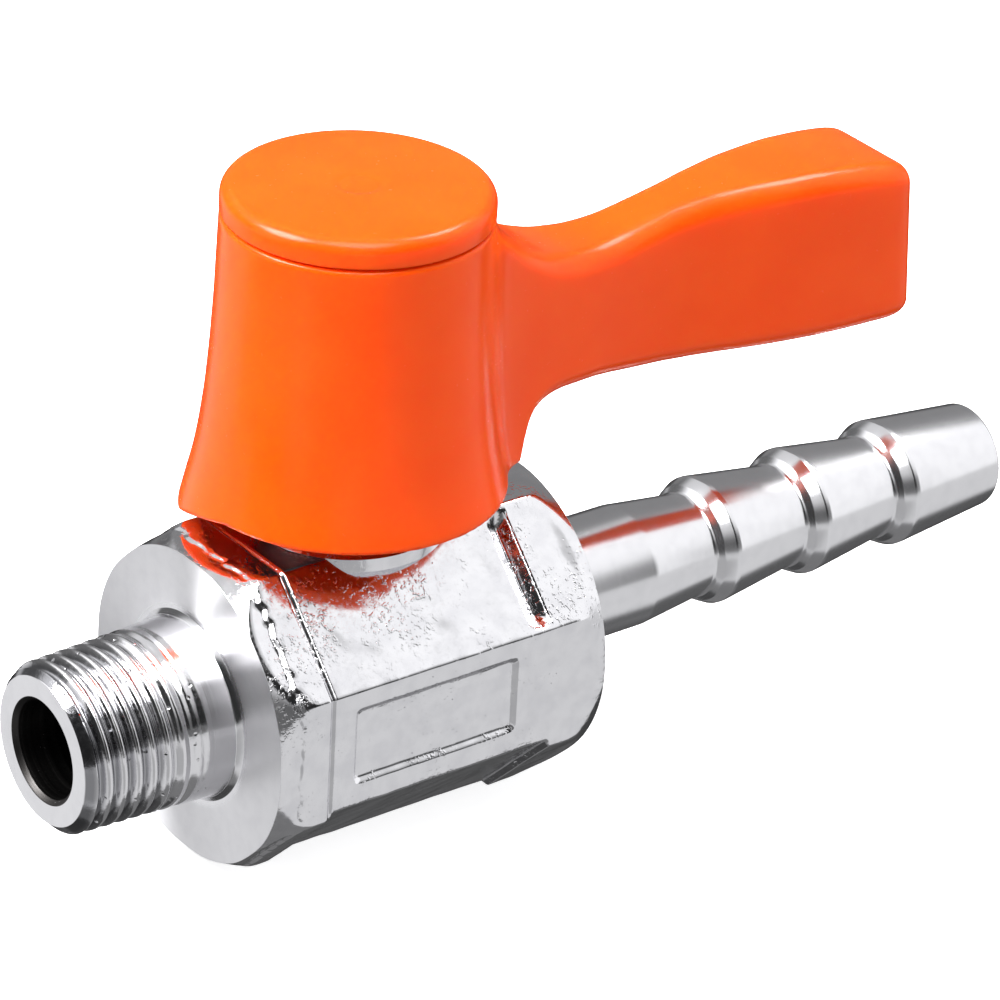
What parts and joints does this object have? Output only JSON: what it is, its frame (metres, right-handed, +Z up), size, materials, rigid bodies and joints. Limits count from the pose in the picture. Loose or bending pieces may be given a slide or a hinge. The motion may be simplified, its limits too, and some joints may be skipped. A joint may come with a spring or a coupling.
{
  "type": "mini ball valve",
  "caption": "Mini ball valve: octagonal nickel-plated body, male pipe thread, hose barb and quarter-turn plastic lever.",
  "frame": {"origin": "centre of the inlet shoulder face, on the flow axis", "axes": "+X along the flow towards the hose barb, +Z up the stem to the lever, +Y completes the right-handed frame"},
  "size_m": [0.0645, 0.018, 0.0374],
  "materials": {
    "plated_brass": "nickel-plated forging, lightly speckled flats, turned ends",
    "plated_brass_turned": "nickel-plated, turned",
    "seal_rubber": "matt black nitrile",
    "seat_plastic": "white PTFE",
    "polished_ball": "polished chrome",
    "bare_brass": "turned brass",
    "orange_nylon": "glossy moulded plastic",
    "zinc_steel": "zinc-plated steel"
  },
  "bodies": {
    "body": {"valve_body": "plated_brass", "hose_end": "plated_brass_turned", "end_joint_o_ring": "seal_rubber", "seat_ring_inlet": "seat_plastic", "seat_ring_outlet": "seat_plastic", "stem_thrust_washer": "seat_plastic"},
    "lever": {"lever_handle": "orange_nylon", "lever_cap": "orange_nylon", "handle_screw": "zinc_steel", "screw_lock_washer": "zinc_steel", "stem": "bare_brass", "stem_o_ring_lower": "seal_rubber", "stem_o_ring_upper": "seal_rubber", "ball": "polished_ball"}
  },
  "joints": [
    {"name": "lever_hinge", "type": "hinge", "parent": "body", "child": "lever", "pos_m": [0.01, 0, 0], "axis": [0, 0, 1], "range_deg": [-90, 0]}
  ]
}
